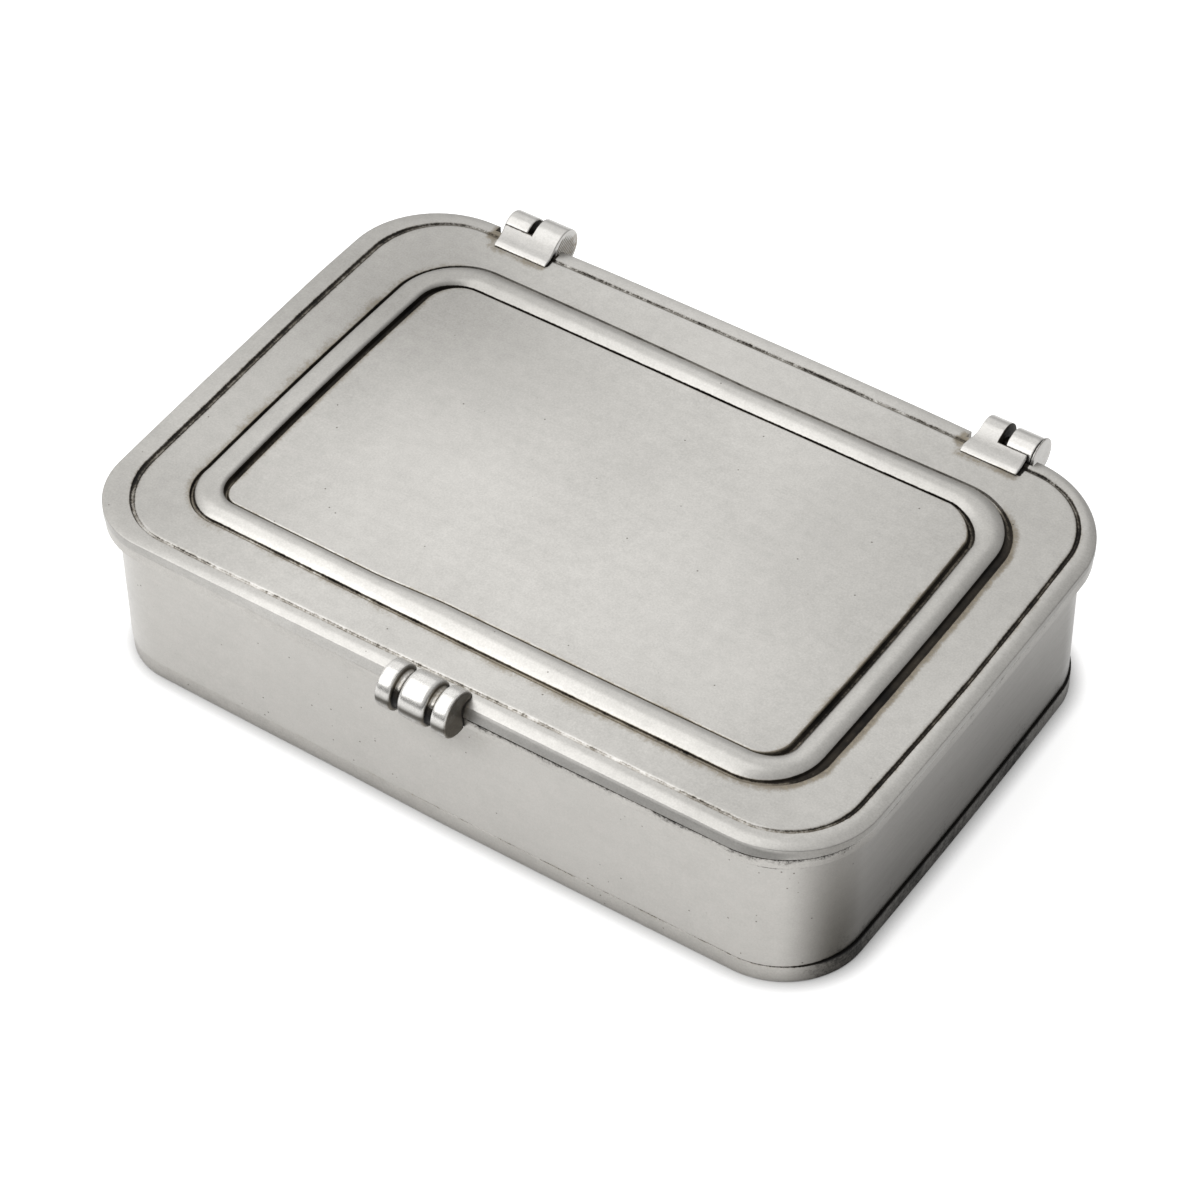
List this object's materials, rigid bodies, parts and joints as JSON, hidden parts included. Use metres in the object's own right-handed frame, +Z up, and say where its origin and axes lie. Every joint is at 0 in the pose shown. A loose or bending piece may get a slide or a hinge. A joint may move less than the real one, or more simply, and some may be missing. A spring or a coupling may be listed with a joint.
{
  "type": "lidded box",
  "caption": "Low rectangular pewter table box with rounded corners, a hinged lid with a raised bead border, and a turned thumb piece.",
  "frame": {"origin": "centre of the base's underside", "axes": "+X along the long side, to the right when the thumb piece faces the viewer; the thumb piece is on the -Y side and the hinges on the +Y side; +Z up"},
  "size_m": [0.1412, 0.105, 0.0361],
  "materials": {
    "base_plate": "satin pewter",
    "body_wall": "satin pewter",
    "mouth_rim": "satin pewter",
    "lid": "satin pewter, dark in the lines",
    "hinge_leaf": "polished pewter",
    "hinge_knuckle": "polished pewter",
    "hinge_pin": "polished metal",
    "thumb_piece": "polished pewter"
  },
  "bodies": {
    "box": {"base_plate": "base_plate", "body_wall": "body_wall", "mouth_rim": "mouth_rim", "hinge_knuckle_left": "hinge_knuckle", "hinge_knuckle_right": "hinge_knuckle", "hinge_pin_left": "hinge_pin", "hinge_pin_right": "hinge_pin"},
    "lid": {"lid": "lid", "hinge_leaf_left": "hinge_leaf", "hinge_leaf_right": "hinge_leaf", "thumb_piece": "thumb_piece"}
  },
  "joints": [
    {"name": "lid_hinge", "type": "hinge", "parent": "box", "child": "lid", "pos_m": [0, 0.0491, 0.0316], "axis": [-1, 0, 0], "range_deg": [0, 105]}
  ]
}
